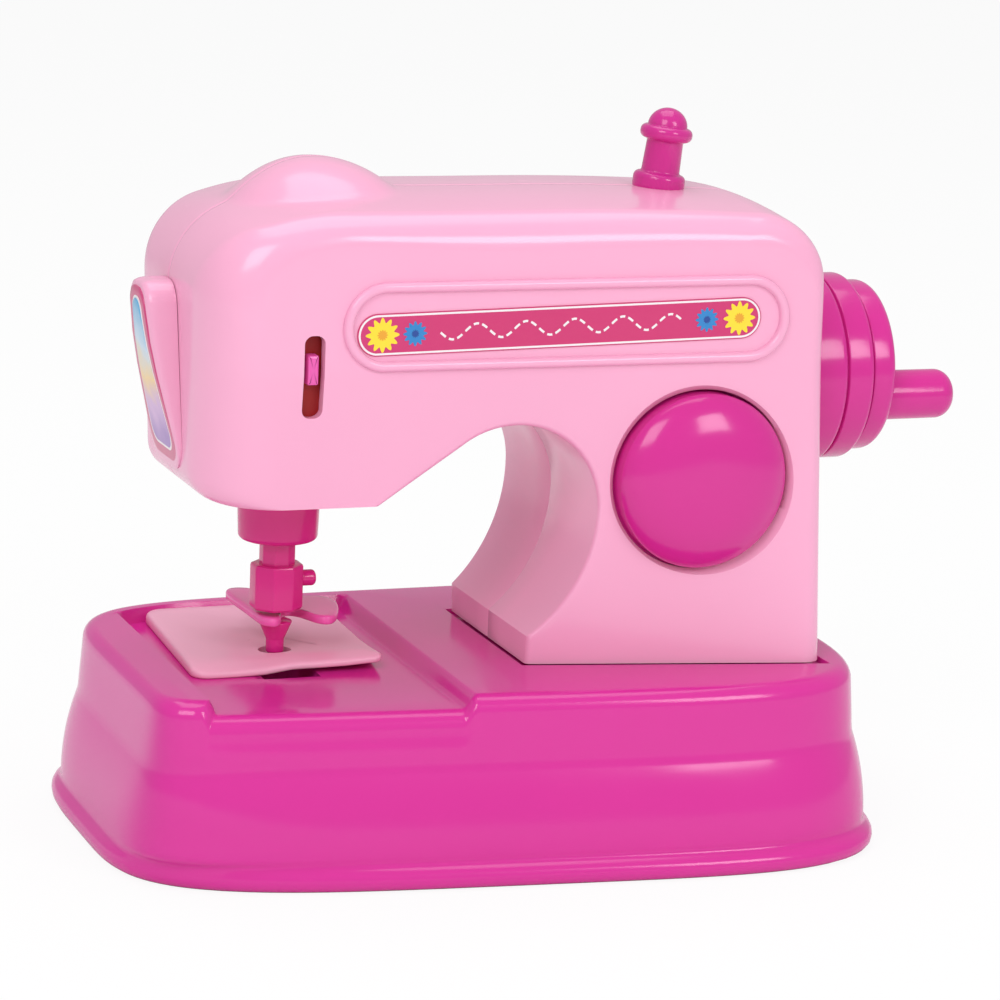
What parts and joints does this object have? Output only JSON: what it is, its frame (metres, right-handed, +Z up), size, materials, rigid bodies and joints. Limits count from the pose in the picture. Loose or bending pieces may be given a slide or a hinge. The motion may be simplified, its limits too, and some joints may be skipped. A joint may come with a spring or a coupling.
{
  "type": "toy sewing machine",
  "caption": "Toy sewing machine with a rounded pink body on a flared base, a hand wheel with a crank peg, a sliding needle bar, a push button and a battery drive.",
  "frame": {"origin": "centre of the base on the table plane", "axes": "+X towards the hand wheel, +Y to the back, +Z up"},
  "size_m": [0.1632, 0.0953, 0.1305],
  "materials": {
    "pink_body": "gloss",
    "magenta_base": "gloss",
    "magenta_controls": "gloss",
    "crimson_needle_group": "gloss",
    "pink_pad": "satin",
    "crimson_label": "gloss",
    "printed_label": "gloss",
    "white_works": "matte",
    "red_works": "matte",
    "dark_works": "matte",
    "steel": "satin",
    "cell_wrap": "gloss"
  },
  "bodies": {
    "frame": {"base_shell": "magenta_base", "base_cover": "magenta_base", "base_cover_screws": "steel", "front_shell": "pink_body", "rear_shell": "pink_body", "shell_screws": "steel", "foot_screws": "steel", "shaft_bushes": "white_works", "carriage_guide": "red_works", "needle_bar_collar": "crimson_needle_group", "cloth_plate": "pink_pad", "spool_pin": "magenta_controls", "button_switch": "dark_works", "switch_bracket": "white_works", "front_label": "crimson_label", "end_panel": "pink_body", "end_label": "printed_label", "motor": "steel", "motor_bracket": "white_works", "idler_axle": "steel", "battery_box": "dark_works", "batteries": "cell_wrap", "battery_contacts": "steel", "battery_door": "magenta_base", "battery_door_screw": "steel"},
    "wheel": {"hand_wheel": "magenta_controls", "crank_handle": "magenta_controls", "main_shaft": "steel", "crank_disc": "white_works", "crank_pin": "steel", "drive_gear": "white_works"},
    "needle": {"needle_carriage": "red_works", "take_up_lever": "crimson_needle_group", "needle_bar": "crimson_needle_group", "needle_clamp": "crimson_needle_group", "clamp_screw": "crimson_needle_group", "presser_foot": "crimson_needle_group", "needle": "crimson_needle_group"},
    "button": {"push_button": "magenta_controls"},
    "idler": {"idler_gear": "white_works"},
    "rotor": {"motor_pinion": "dark_works"}
  },
  "joints": [
    {"name": "hand_wheel_spin", "type": "hinge", "parent": "frame", "child": "wheel", "pos_m": [0, 0, 0.0817], "axis": [1, 0, 0], "continuous": true},
    {"name": "idler_spin", "type": "hinge", "parent": "frame", "child": "idler", "pos_m": [0, 0.005, 0.06756], "axis": [1, 0, 0], "continuous": true},
    {"name": "motor_spin", "type": "hinge", "parent": "frame", "child": "rotor", "pos_m": [0, 0.005, 0.05316], "axis": [1, 0, 0], "continuous": true},
    {"name": "needle_slide", "type": "slide", "parent": "frame", "child": "needle", "axis": [0, 0, 1], "range_m": [-0.0045, 0.0033]},
    {"name": "button_press", "type": "slide", "parent": "frame", "child": "button", "axis": [0, 1, 0], "range_m": [0, 0.0025], "stiffness_N_per_m": 400}
  ],
  "couplings": [
    {"joint": "idler_spin", "follows": "hand_wheel_spin", "ratio": -4},
    {"joint": "motor_spin", "follows": "hand_wheel_spin", "ratio": 20}
  ]
}
